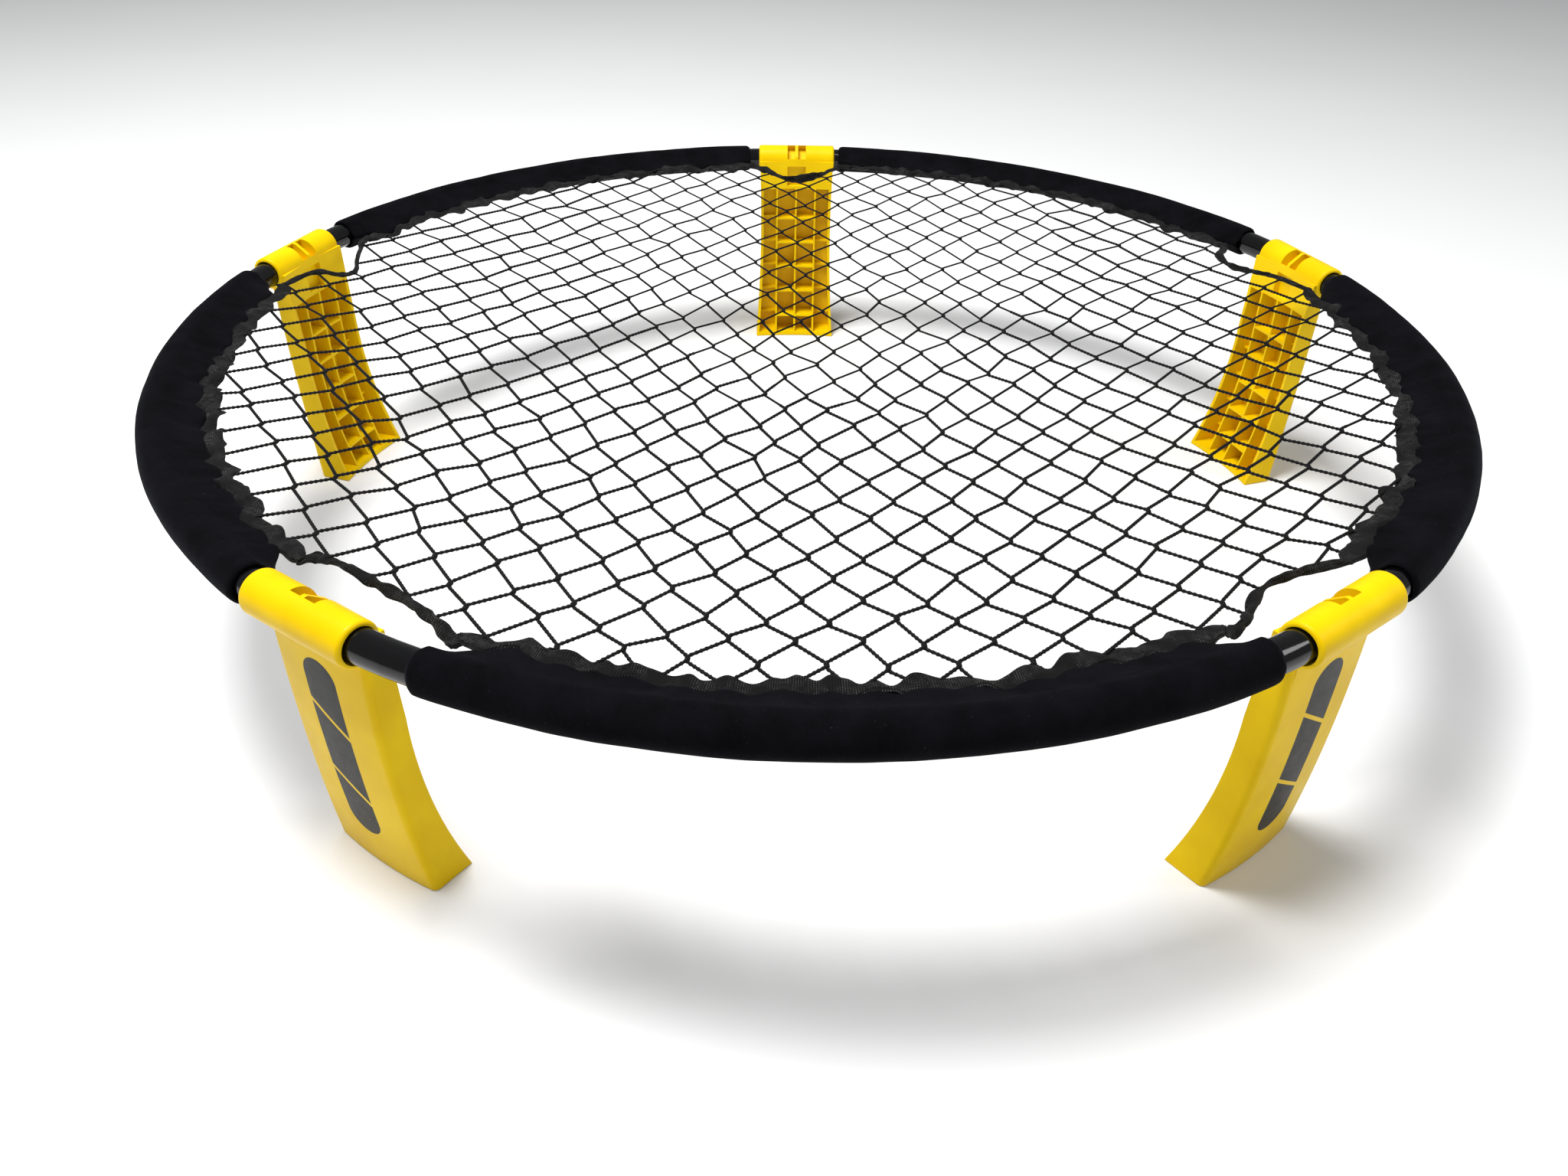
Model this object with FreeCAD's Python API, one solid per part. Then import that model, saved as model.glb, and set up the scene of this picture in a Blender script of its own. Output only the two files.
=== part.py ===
"""Roundnet target: a round rebound net on a ring of five curved tubes, standing on five moulded legs.

Millimetres, +Z up. The origin is on the floor, under the centre of the ring. The first leg stands at
the back, on +Y, and the others follow every 72 degrees. Each leg has a round collar along the ring.
The straight ends of two neighbouring tubes plug into that collar, and the leg can turn about them.
Pieces of a leg are drawn about its collar: X outwards, Y along the collar, Z up from the ring's plane.
"""
import FreeCAD, Part
import math
import os

Vector = FreeCAD.Vector
ORIGIN = Vector(0, 0, 0)
OUTWARDS = Vector(1, 0, 0)
ALONG = Vector(0, 1, 0)
UP = Vector(0, 0, 1)

# Ring
LEG_NAMES = ["back", "back_left", "front_left", "front_right", "back_right"]
TUBE_NAMES = ["back_left", "left", "front", "right", "back_right"]
FIRST_LEG_ANGLE = 90.0
RING_RADIUS = 445.0            # centre line of the tubes between the legs
RING_HEIGHT = 184.0            # floor to the centre line of the tubes
TUBE_RADIUS = 9.5
TUBE_WALL = 1.2
TUBE_SEAT = 8.6                # straight length at each tube's end, inside the collar
BEND_REACH = 20.5              # collar's end to where a tube takes up the curve of the ring

# Collar
COLLAR_WALL = 3.45
COLLAR_LENGTH = 78.0
COLLAR_EDGE = 2.4              # rounding of the collar's ends
COLLAR_WEB = 24.0              # solid middle of the collar, between its two blind bores
RUNNING_CLEARANCE = 0.05       # radial, collar bore over tube end
MOUTH_CLEARANCE = 0.34         # radial, at the flared mouth of a bore, past the bend of the tube
END_CLEARANCE = 0.4            # tube end to the bottom of its bore

# Fold and its stop
FOLD_ANGLE = 50.0              # a leg's turn from standing to folded under the net
KEY_START = -40.0              # from straight down, inwards positive
KEY_ANGLE = 20.0               # width of the stop key in the bottom of each bore
KEY_LENGTH = 3.6
KEY_PLAY = 0.4                 # degrees left at each end of the key's travel
KEY_GAP = 0.3                  # key to the sides of its notch in the tube

# Leg
PANEL_TOP = 2.0                # radial place of the outer panel, under the collar
PANEL_MIDDLE = -1.0
PANEL_FOOT = -10.5
PANEL_CROWN = 300.0            # radius of the panel's curve across its width
PANEL_BLEND = 5.0              # hollow blend between collar and panel
INNER_LEDGE = 3.5              # how far the open inner edge stands in from the collar, at its top
INNER_MIDDLE = -21.6           # radial place of the open inner edge
INNER_FOOT = -37.0
INNER_CURVE_START = 60.0       # below the ring
COLLAR_OVERHANG = 1.0          # how far the collar stands past each side of the leg
WAIST = 1.0                    # drawn in on each side at mid height
FLARE = 3.3                    # let out on each side at the sole
PANEL_EDGE = 4.0               # rounding of the panel's two long edges
LEG_WALL = 2.8
SOLE_THICKNESS = 3.2
POCKET_TOP = 28.0              # below the ring, the ceiling of the pockets
RIB_THICKNESS = 1.8
RIB_SETBACK = 1.2              # ribs stand this far inside the open edge
UPRIGHT_RIB_SPACING = 20.0
CROSS_RIB_FIRST = 60.0         # below the ring
CROSS_RIB_SPACING = 26.0
LOW_RIB_HEIGHT = 5.0           # cross ribs of the two outer columns, over the panel

# Window of the collar, and the recess for a thumb under it
WINDOW_END_WALL = 2.5          # window to each bore
WINDOW_CHORD = 17.0            # across the collar's curve
WINDOW_TILT = 52.0             # above the inward direction
WINDOW_FLOOR = 3.5             # collar's axis to the floor of the window
WINDOW_RIB = 3.0
WINDOW_RIB_DROP = 1.8          # the rib stops this far under the collar's surface
RECESS_TOP = 5.0               # below the ring
RECESS_BOTTOM = 25.0
RECESS_DEPTH = 4.0

# Soft goods
SLEEVE_GAP = 0.4               # tube to sleeve
SLEEVE_THICKNESS = 2.5
TAIL_REACH = 23.5              # tube centre line to the inner edge of the sleeve's flat tail
TAIL_THICKNESS = 3.2
TAIL_SHOULDER = 8.0            # tube centre line to where the tail leaves the sleeve's round
TAIL_SHOULDER_HEIGHT = 9.0
SEWN_GAP = 0.3                 # between sleeve tail, binding and net
BINDING_WIDTH = 13.0
BINDING_THICKNESS = 2.4
TWINE = 1.8
MESH_WIDTH = 32.0              # knot to knot across a diamond, left to right
MESH_DEPTH = 47.0              # knot to knot across a diamond, front to back

# Bare tube from the collar's end to the hem, at the first and the last end of each sleeve
BARE_TUBE = {
    "back_left": (10.0, 22.0),
    "left": (21.0, 8.0),
    "front": (37.0, 21.0),
    "right": (11.0, 8.0),
    "back_right": (29.0, 5.0),
}
# The binding past each leg: how far it bows in, and how far round the ring its deepest place is
SPAN_BOW = {
    "back": (30.0, 0.0),
    "back_left": (30.0, 1.0),
    "front_left": (17.0, -1.0),
    "front_right": (17.0, 1.0),
    "back_right": (24.0, 3.0),
}

LEG_STEP = 360.0 / len(LEG_NAMES)
COLLAR_END = COLLAR_LENGTH / 2
TUBE_END = COLLAR_WEB / 2 + END_CLEARANCE
TUBE_STRAIGHT_END = TUBE_END + TUBE_SEAT
TUBE_BEND_END = COLLAR_END + BEND_REACH
BEND_TURN = math.degrees(math.asin(TUBE_BEND_END / RING_RADIUS))
BEND_RADIUS = (TUBE_BEND_END - TUBE_STRAIGHT_END) / math.sin(math.radians(BEND_TURN))
# The collar's axis is the tangent line that the bends of its two tubes run into.
AXIS_RADIUS = BEND_RADIUS + (RING_RADIUS - BEND_RADIUS) * math.cos(math.radians(BEND_TURN))
BORE_RADIUS = TUBE_RADIUS + RUNNING_CLEARANCE
COLLAR_RADIUS = BORE_RADIUS + COLLAR_WALL
MOUTH_BEND = BEND_RADIUS - math.sqrt(BEND_RADIUS ** 2 - (COLLAR_END - TUBE_STRAIGHT_END) ** 2)
MOUTH_RADIUS = TUBE_RADIUS + MOUTH_BEND + MOUTH_CLEARANCE
INNER_TUBE_RADIUS = TUBE_RADIUS - TUBE_WALL
INNER_TOP = -COLLAR_RADIUS - INNER_LEDGE
HALF_WIDTH_TOP = COLLAR_END - COLLAR_OVERHANG
HALF_WIDTH_WAIST = HALF_WIDTH_TOP - WAIST
HALF_WIDTH_FOOT = HALF_WIDTH_TOP + FLARE
CROSS_RIB_COUNT = 1 + int((RING_HEIGHT - SOLE_THICKNESS - CROSS_RIB_FIRST) / CROSS_RIB_SPACING)
WINDOW_WIDTH = COLLAR_WEB - 2 * WINDOW_END_WALL
SLEEVE_BORE_RADIUS = TUBE_RADIUS + SLEEVE_GAP
SLEEVE_RADIUS = SLEEVE_BORE_RADIUS + SLEEVE_THICKNESS
BINDING_OUTER = TAIL_REACH + SEWN_GAP          # from the tubes' centre line inwards
BINDING_INNER = BINDING_OUTER + BINDING_WIDTH
NET_EDGE = BINDING_INNER + SEWN_GAP
BEYOND = 20.0                  # how far a cutter reaches past what it cuts
ROOT = 0.8                     # how far a rib runs into the wall it stands on


def leg_angle(index):
    return FIRST_LEG_ANGLE + index * LEG_STEP


def polar(radius, angle):
    turn = math.radians(angle)
    return Vector(radius * math.cos(turn), radius * math.sin(turn), 0)


def line(start, end):
    return Part.LineSegment(start, end).toShape()


def arc(start, middle, end):
    return Part.Arc(start, middle, end).toShape()


def face(edges):
    return Part.Face(Part.Wire(edges))


def box(low, high):
    size = high.sub(low)
    return Part.makeBox(size.x, size.y, size.z, low)


def raised(shape):
    """Lift a shape drawn about the plane of the ring to its real height."""
    lifted = shape.copy()
    lifted.translate(Vector(0, 0, RING_HEIGHT))
    return lifted


def at_leg(shape, index):
    """Place a shape drawn about a collar at one of the legs."""
    placed = shape.copy()
    placed.translate(Vector(AXIS_RADIUS, 0, RING_HEIGHT))
    placed.rotate(ORIGIN, UP, leg_angle(index))
    return placed


def collar_sector(inner, outer, start, width, low, length):
    """Part of a ring about the collar's axis. Angles count from straight down, inwards positive."""
    def point(radius, angle):
        turn = math.radians(angle)
        return Vector(-radius * math.sin(turn), low, -radius * math.cos(turn))

    middle = start + width / 2
    end = start + width
    section = face([
        arc(point(outer, start), point(outer, middle), point(outer, end)),
        line(point(outer, end), point(inner, end)),
        arc(point(inner, end), point(inner, middle), point(inner, start)),
        line(point(inner, start), point(outer, start)),
    ])
    return section.extrude(ALONG * length)


# ---------------------------------------------------------------- tubes

def bend_point(angle, side, share):
    """A point on the bend beside a leg, from its collar (share 0) to the ring's curve (share 1)."""
    turn = math.radians(BEND_TURN * share)
    along = TUBE_STRAIGHT_END + BEND_RADIUS * math.sin(turn)
    inwards = BEND_RADIUS * (1 - math.cos(turn))
    return polar(AXIS_RADIUS - inwards, angle) + polar(side * along, angle + 90)


def tube_path(index):
    """Centre line from one collar to the next: straight end, bend, ring curve, bend, straight end."""
    first = leg_angle(index)
    last = leg_angle(index + 1)
    first_end = polar(AXIS_RADIUS, first) + polar(TUBE_END, first + 90)
    last_end = polar(AXIS_RADIUS, last) - polar(TUBE_END, last + 90)
    middle = polar(RING_RADIUS, (first + last) / 2)
    return Part.Wire([
        line(first_end, bend_point(first, 1, 0)),
        arc(bend_point(first, 1, 0), bend_point(first, 1, 0.5), bend_point(first, 1, 1)),
        arc(bend_point(first, 1, 1), middle, bend_point(last, -1, 1)),
        arc(bend_point(last, -1, 1), bend_point(last, -1, 0.5), bend_point(last, -1, 0)),
        line(bend_point(last, -1, 0), last_end),
    ])


def swept(path, radius):
    start = path.OrderedEdges[0]
    direction = start.tangentAt(start.FirstParameter)
    section = Part.Wire(Part.makeCircle(radius, start.valueAt(start.FirstParameter), direction))
    return path.makePipeShell([section], True, False)


def key_notch(side):
    """Cutter for the notch in a tube's end, in which the key travels as the leg folds."""
    length = END_CLEARANCE + KEY_LENGTH + KEY_GAP
    low = COLLAR_WEB / 2 if side > 0 else -COLLAR_WEB / 2 - length
    width = KEY_ANGLE + FOLD_ANGLE + 2 * KEY_PLAY
    inner = INNER_TUBE_RADIUS - TUBE_WALL
    outer = TUBE_RADIUS + TUBE_WALL
    return collar_sector(inner, outer, KEY_START - KEY_PLAY, width, low, length)


def make_tube(index):
    path = tube_path(index)
    tube = raised(swept(path, TUBE_RADIUS).cut(swept(path, INNER_TUBE_RADIUS)))
    tube = tube.cut(at_leg(key_notch(1), index))
    return tube.cut(at_leg(key_notch(-1), index + 1))


# ---------------------------------------------------------------- legs

def blend_centre():
    """Centre of the hollow blend between the collar and the panel, in side view."""
    reach = COLLAR_RADIUS + PANEL_BLEND
    place = PANEL_TOP + PANEL_BLEND
    return Vector(place, 0, -math.sqrt(reach ** 2 - place ** 2))


def panel_arc(inset):
    """The outer panel in side view, from under the collar to the sole."""
    top = -blend_centre().z
    middle = (top + RING_HEIGHT) / 2
    return arc(Vector(PANEL_TOP - inset, 0, -top),
               Vector(PANEL_MIDDLE - inset, 0, -middle),
               Vector(PANEL_FOOT - inset, 0, -RING_HEIGHT))


def open_edge_arc(setback):
    """The lower, curved part of the open inner edge in side view, from the sole upwards."""
    middle = (INNER_CURVE_START + RING_HEIGHT) / 2
    return arc(Vector(INNER_FOOT + setback, 0, -RING_HEIGHT),
               Vector(INNER_MIDDLE + setback, 0, -middle),
               Vector(INNER_TOP + setback, 0, -INNER_CURVE_START))


def ends(edge):
    return edge.valueAt(edge.FirstParameter), edge.valueAt(edge.LastParameter)


def side_outline():
    """Side view of the whole leg under its collar."""
    panel = panel_arc(0)
    open_edge = open_edge_arc(0)
    centre = blend_centre()
    touch = centre * (COLLAR_RADIUS / centre.Length)
    panel_top, panel_foot = ends(panel)
    open_foot, open_top = ends(open_edge)
    towards_panel = (touch - centre) + (panel_top - centre)
    blend_middle = centre + towards_panel * (PANEL_BLEND / towards_panel.Length)
    collar_side = Vector(-COLLAR_RADIUS, 0, 0)
    return face([
        line(ORIGIN, touch),
        arc(touch, blend_middle, panel_top),
        panel,
        line(panel_foot, open_foot),
        open_edge,
        line(open_top, collar_side),
        line(collar_side, ORIGIN),
    ])


def behind_panel(inset):
    """Side view of all that lies on the inner side of the panel, out past the open edge."""
    panel = panel_arc(inset)
    top, foot = ends(panel)
    far = INNER_FOOT - BEYOND
    low_corner = Vector(far, 0, foot.z)
    high_corner = Vector(far, 0, top.z)
    return face([panel, line(foot, low_corner), line(low_corner, high_corner), line(high_corner, top)])


def within_open_edge(setback):
    """Side view of all that lies outside the open edge, out past the panel."""
    edge = open_edge_arc(setback)
    foot, top = ends(edge)
    high_edge = Vector(top.x, 0, 0)
    high_corner = Vector(BEYOND, 0, 0)
    low_corner = Vector(BEYOND, 0, foot.z)
    return face([edge, line(top, high_edge), line(high_edge, high_corner),
                 line(high_corner, low_corner), line(low_corner, foot)])


def crowned(section):
    """Sweep a side view across the leg on the curve of the panel's crown."""
    spread = math.degrees(math.asin(HALF_WIDTH_FOOT / PANEL_CROWN)) * 1.3
    axis = Vector(PANEL_MIDDLE - PANEL_CROWN, 0, 0)
    turned = section.copy()
    turned.rotate(axis, UP, -spread)
    return turned.revolve(axis, UP, 2 * spread)


def front_outline(inset):
    """Front view of the leg, waisted at mid height, as a solid through its whole depth."""
    middle = RING_HEIGHT / 2

    def side(sign):
        return [Vector(0, sign * (half - inset), -height) for half, height in
                ((HALF_WIDTH_TOP, 0), (HALF_WIDTH_WAIST, middle), (HALF_WIDTH_FOOT, RING_HEIGHT))]

    left = side(-1)
    right = side(1)
    section = face([arc(*left), line(left[2], right[2]), arc(*reversed(right)), line(right[0], left[0])])
    depth = 2 * (BEYOND - INNER_FOOT)
    section.translate(OUTWARDS * (-depth / 2))
    return section.extrude(OUTWARDS * depth)


def slab(low, high):
    reach = HALF_WIDTH_FOOT + BEYOND
    return box(Vector(INNER_FOOT - BEYOND, -reach, low), Vector(BEYOND, reach, high))


def is_panel_corner(edge):
    """The two long outer edges of the panel."""
    low, high = edge.BoundBox.ZMin, edge.BoundBox.ZMax
    middle = edge.BoundBox.Center
    tall = high - low > RING_HEIGHT / 2
    return tall and middle.x > (PANEL_FOOT + INNER_MIDDLE) / 2


def pockets():
    """The space between the ribs' walls: inside the shell, open towards the ring's centre."""
    space = crowned(behind_panel(LEG_WALL)).common(front_outline(LEG_WALL))
    return space.common(slab(SOLE_THICKNESS - RING_HEIGHT, -POCKET_TOP))


def plate(y_low, y_high, z_low, z_high):
    return box(Vector(INNER_FOOT - BEYOND, y_low, z_low), Vector(BEYOND, y_high, z_high))


def ribs():
    """Three upright ribs, cross ribs between them, and low cross ribs in the two outer columns."""
    half = RIB_THICKNESS / 2
    uprights = [plate(place - half, place + half, -RING_HEIGHT, 0)
                for place in (-UPRIGHT_RIB_SPACING, 0, UPRIGHT_RIB_SPACING)]
    heights = [-CROSS_RIB_FIRST - step * CROSS_RIB_SPACING for step in range(CROSS_RIB_COUNT)]
    crosses = [plate(-UPRIGHT_RIB_SPACING, UPRIGHT_RIB_SPACING, z - half, z + half) for z in heights]
    lows = [plate(-HALF_WIDTH_FOOT, HALF_WIDTH_FOOT, z - half, z + half) for z in heights]
    inside = front_outline(LEG_WALL - ROOT)
    inside = inside.common(slab(SOLE_THICKNESS - ROOT - RING_HEIGHT, ROOT - POCKET_TOP))
    depth = crowned(behind_panel(LEG_WALL - ROOT)).common(crowned(within_open_edge(RIB_SETBACK)))
    full = uprights[0].multiFuse(uprights[1:] + crosses).common(depth).common(inside)
    low_depth = depth.cut(crowned(behind_panel(LEG_WALL + LOW_RIB_HEIGHT)))
    low = lows[0].multiFuse(lows[1:]).common(low_depth).common(inside)
    return full.fuse(low)


def bores():
    """The two blind bores of the collar, each flared towards its mouth."""
    depth = COLLAR_END - COLLAR_WEB / 2
    flare = COLLAR_END - TUBE_STRAIGHT_END
    cutters = []
    for side in (-1, 1):
        outwards = ALONG * side
        cutters.append(Part.makeCylinder(BORE_RADIUS, depth, outwards * (COLLAR_WEB / 2), outwards))
        cutters.append(Part.makeCone(BORE_RADIUS, MOUTH_RADIUS, flare, outwards * TUBE_STRAIGHT_END, outwards))
    return cutters


def stop_keys():
    inner = INNER_TUBE_RADIUS
    outer = BORE_RADIUS + ROOT
    length = KEY_LENGTH + ROOT
    low = COLLAR_WEB / 2 - ROOT
    places = (low, -low - length)
    return [collar_sector(inner, outer, KEY_START, KEY_ANGLE, place, length) for place in places]


def window():
    """Two openings side by side, high on the collar's inner side, with a rib between them."""
    half_width = WINDOW_WIDTH / 2
    half_chord = WINDOW_CHORD / 2
    half_rib = WINDOW_RIB / 2
    opening = box(Vector(WINDOW_FLOOR, -half_width, -half_chord),
                  Vector(COLLAR_RADIUS + BEYOND, half_width, half_chord))
    rib = box(Vector(0, -half_rib, -half_chord - BEYOND),
              Vector(COLLAR_RADIUS - WINDOW_RIB_DROP, half_rib, half_chord + BEYOND))
    cutter = opening.cut(rib)
    cutter.rotate(ORIGIN, ALONG, WINDOW_TILT - 180)
    return cutter


def thumb_recess():
    half_width = WINDOW_WIDTH / 2
    return box(Vector(INNER_FOOT, -half_width, -RECESS_BOTTOM),
               Vector(RECESS_DEPTH - COLLAR_RADIUS, half_width, -RECESS_TOP))


def collar():
    barrel = Part.makeCylinder(COLLAR_RADIUS, COLLAR_LENGTH, ALONG * -COLLAR_END, ALONG)
    rims = [edge for edge in barrel.Edges if len(edge.Vertexes) == 1]
    return barrel.makeFillet(COLLAR_EDGE, rims)


def make_leg():
    """One moulding: panel, side walls, sole, ribs and collar."""
    block = crowned(side_outline()).common(front_outline(0))
    block = block.makeFillet(PANEL_EDGE, [edge for edge in block.Edges if is_panel_corner(edge)])
    shell = block.cut(pockets()).fuse(collar()).fuse(ribs())
    shell = shell.cut(bores() + [window(), thumb_recess()])
    return shell.multiFuse(stop_keys()).removeSplitter()


# ---------------------------------------------------------------- soft goods

def hem(index, last=False):
    """Middle of the leg to the hem, at the first or the last end of one tube's sleeve."""
    return COLLAR_END + BARE_TUBE[TUBE_NAMES[index % len(TUBE_NAMES)]][last]


def bend_angle(along):
    """How far round its bend a tube has turned at this distance from the middle of the leg."""
    return math.degrees(math.asin((along - TUBE_STRAIGHT_END) / BEND_RADIUS))


def ring_angle(along):
    return math.degrees(math.asin(along / RING_RADIUS))


def bend_centre(index, side):
    angle = leg_angle(index)
    return polar(AXIS_RADIUS - BEND_RADIUS, angle) + polar(side * TUBE_STRAIGHT_END, angle + 90)


def beside_tube(index, side, along, inset):
    """A point this far inwards from a tube's centre line, and this far along it from a leg."""
    if along < TUBE_BEND_END:
        turned = leg_angle(index) + side * bend_angle(along)
        return bend_centre(index, side) + polar(BEND_RADIUS - inset, turned)
    return polar(RING_RADIUS - inset, leg_angle(index) + side * ring_angle(along))


def bend_edge(index, side, start, end, inset):
    """The curve beside a tube's bend, from one distance along it to another."""
    return arc(*(beside_tube(index, side, along, inset) for along in (start, (start + end) / 2, end)))


def edge_beside_tube(index, inset):
    """The curve beside one tube, from hem to hem."""
    first = hem(index)
    last = hem(index, last=True)
    ring_first = max(first, TUBE_BEND_END)
    ring_last = max(last, TUBE_BEND_END)
    edges = [arc(beside_tube(index, 1, ring_first, inset),
                 polar(RING_RADIUS - inset, leg_angle(index + 0.5)),
                 beside_tube(index + 1, -1, ring_last, inset))]
    if first < TUBE_BEND_END:
        edges.insert(0, bend_edge(index, 1, first, TUBE_BEND_END, inset))
    if last < TUBE_BEND_END:
        edges.append(bend_edge(index + 1, -1, TUBE_BEND_END, last, inset))
    return edges


def edge_past_leg(index, inset, gap):
    """The curve past one leg, bowed in from hem to hem and ending this far short of each."""
    bow, shift = SPAN_BOW[LEG_NAMES[index]]
    return arc(beside_tube(index, -1, hem(index - 1, last=True) - gap, inset),
               polar(RING_RADIUS - inset - bow, leg_angle(index) + shift),
               beside_tube(index, 1, hem(index) - gap, inset))


def ribbon(outer_edges, inner_edges):
    """A flat band of binding between two curves that run the same way."""
    joins = []
    for outer, inner, share in ((outer_edges[0], inner_edges[0], 0), (outer_edges[-1], inner_edges[-1], 1)):
        joins.append(line(ends(outer)[share], ends(inner)[share]))
    outline = Part.Wire(Part.__sortEdges__(outer_edges + inner_edges + joins))
    band = Part.Face(outline)
    band.translate(UP * (-BINDING_THICKNESS / 2))
    return raised(band.extrude(UP * BINDING_THICKNESS))


def make_binding(index):
    return ribbon(edge_beside_tube(index, BINDING_OUTER), edge_beside_tube(index, BINDING_INNER))


def make_span(index):
    return ribbon([edge_past_leg(index, BINDING_OUTER, SEWN_GAP)],
                  [edge_past_leg(index, BINDING_INNER, SEWN_GAP)])


def sleeve_section():
    """Round of fabric about the tube, drawn in to a flat double tail, drawn about the tube's centre."""
    across = Vector(0, 1, 0)
    half = TAIL_THICKNESS / 2
    corners = [Vector(-TAIL_SHOULDER, 0, TAIL_SHOULDER_HEIGHT), Vector(-TAIL_REACH, 0, half),
               Vector(-TAIL_REACH, 0, -half), Vector(-TAIL_SHOULDER, 0, -TAIL_SHOULDER_HEIGHT)]
    round_part = Part.Face(Part.Wire(Part.makeCircle(SLEEVE_RADIUS, ORIGIN, across)))
    tail = Part.Face(Part.makePolygon(corners + corners[:1]))
    bore = Part.Face(Part.Wire(Part.makeCircle(SLEEVE_BORE_RADIUS, ORIGIN, across)))
    return round_part.fuse(tail).cut(bore).removeSplitter().Faces[0]


def turned_section(centre, radius, start, turn):
    """Turn the sleeve's section about an upright axis, from one angle round it."""
    section = sleeve_section()
    section.translate(OUTWARDS * radius)
    section.rotate(ORIGIN, UP, start)
    section.translate(centre)
    return section.revolve(centre, UP, turn)


def make_sleeve(index):
    first = hem(index)
    last = hem(index, last=True)
    start = leg_angle(index) + ring_angle(max(first, TUBE_BEND_END))
    end = leg_angle(index + 1) - ring_angle(max(last, TUBE_BEND_END))
    sleeve = turned_section(ORIGIN, RING_RADIUS, start, end - start)
    for leg, side, place in ((index, 1, first), (index + 1, -1, last)):
        if place < TUBE_BEND_END:
            turn = bend_angle(place)
            part = turned_section(bend_centre(leg, side), BEND_RADIUS,
                                  leg_angle(leg) + side * turn, side * (BEND_TURN - turn))
            sleeve = sleeve.fuse(part)
    return raised(sleeve)


def net_outline():
    """Everything inside the binding, as a solid a little deeper than the net."""
    edges = []
    for index in range(len(LEG_NAMES)):
        edges.append(edge_past_leg(index, NET_EDGE, 0))
        edges.extend(edge_beside_tube(index, NET_EDGE))
    depth = 4 * TWINE
    outline = face(edges)
    outline.translate(UP * (-depth / 2))
    return outline.extrude(UP * depth)


def make_net():
    """Two layers of straight twines that cross in diamonds."""
    outline = net_outline()
    half_width = MESH_WIDTH / 2
    half_depth = MESH_DEPTH / 2
    slant = math.degrees(math.atan2(half_depth, half_width))
    spacing = half_width * half_depth * 2 / math.hypot(half_width, half_depth)
    reach = RING_RADIUS - NET_EDGE
    count = int(reach / spacing)
    layer_gap = SEWN_GAP / 2
    twines = []
    for sign in (-1, 1):
        low = layer_gap / 2 if sign > 0 else -layer_gap / 2 - TWINE
        for step in range(-count, count + 1):
            twine = box(Vector(-reach, step * spacing - TWINE / 2, low),
                        Vector(reach, step * spacing + TWINE / 2, low + TWINE))
            twine.rotate(ORIGIN, UP, sign * slant)
            twines.extend(twine.common(outline).Solids)
    return raised(Part.makeCompound(twines))


# ---------------------------------------------------------------- all nodes

def make_nodes():
    leg = make_leg()
    nodes = {"net": make_net()}
    for index, name in enumerate(LEG_NAMES):
        nodes["leg_" + name] = at_leg(leg, index)
        nodes["binding_span_" + name] = make_span(index)
    for index, name in enumerate(TUBE_NAMES):
        nodes["tube_" + name] = make_tube(index)
        nodes["sleeve_" + name] = make_sleeve(index)
        nodes["binding_" + name] = make_binding(index)
    return nodes


os.makedirs("parts", exist_ok=True)
for node_name, node_shape in make_nodes().items():
    node_shape.exportStep("parts/" + node_name + ".step")
    print(node_name, len(node_shape.Solids), "solids,", round(node_shape.Volume / 1000, 2), "cm3")
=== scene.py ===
"""Looks of the roundnet target: fabric sleeves, braid binding and knotted net on the tubes and legs."""
import math
import random

import bpy
from mathutils import Matrix, Vector, noise


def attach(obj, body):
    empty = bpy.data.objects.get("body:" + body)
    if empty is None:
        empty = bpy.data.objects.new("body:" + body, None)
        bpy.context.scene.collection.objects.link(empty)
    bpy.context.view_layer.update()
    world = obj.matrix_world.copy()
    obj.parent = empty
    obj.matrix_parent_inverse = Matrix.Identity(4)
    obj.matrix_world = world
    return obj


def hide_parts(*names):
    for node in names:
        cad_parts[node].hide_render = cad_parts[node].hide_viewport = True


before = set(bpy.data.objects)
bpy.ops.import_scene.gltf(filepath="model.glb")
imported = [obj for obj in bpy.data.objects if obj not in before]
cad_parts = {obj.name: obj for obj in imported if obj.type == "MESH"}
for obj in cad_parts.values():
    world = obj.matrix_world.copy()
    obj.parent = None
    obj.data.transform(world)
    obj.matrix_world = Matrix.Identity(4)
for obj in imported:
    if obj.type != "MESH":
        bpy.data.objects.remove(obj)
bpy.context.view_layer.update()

# Sizes of the frame, in metres
MM = 0.001
FIRST_LEG = 90.0
LEG_SPACING = 72.0
LEG_NAMES = ["back", "back_left", "front_left", "front_right", "back_right"]
LEGS = {name: (FIRST_LEG + LEG_SPACING * index) % 360 for index, name in enumerate(LEG_NAMES)}
TUBE_NAMES = ["back_left", "left", "front", "right", "back_right"]
RING_RADIUS = 445.0 * MM
RING_HEIGHT = 184.0 * MM
TUBE_STRAIGHT_END = 21.0 * MM
TUBE_BEND_END = 59.5 * MM
COLLAR_END = 39.0 * MM
BEND_TURN = math.asin(TUBE_BEND_END / RING_RADIUS)
BEND_RADIUS = (TUBE_BEND_END - TUBE_STRAIGHT_END) / math.sin(BEND_TURN)
AXIS_RADIUS = BEND_RADIUS + (RING_RADIUS - BEND_RADIUS) * math.cos(BEND_TURN)
# Bare tube from the collar's end to the hem, at the first and the last end of each sleeve
BARE_TUBE = {"back_left": (10.0, 22.0), "left": (21.0, 8.0), "front": (37.0, 21.0),
             "right": (11.0, 8.0), "back_right": (29.0, 5.0)}

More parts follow.
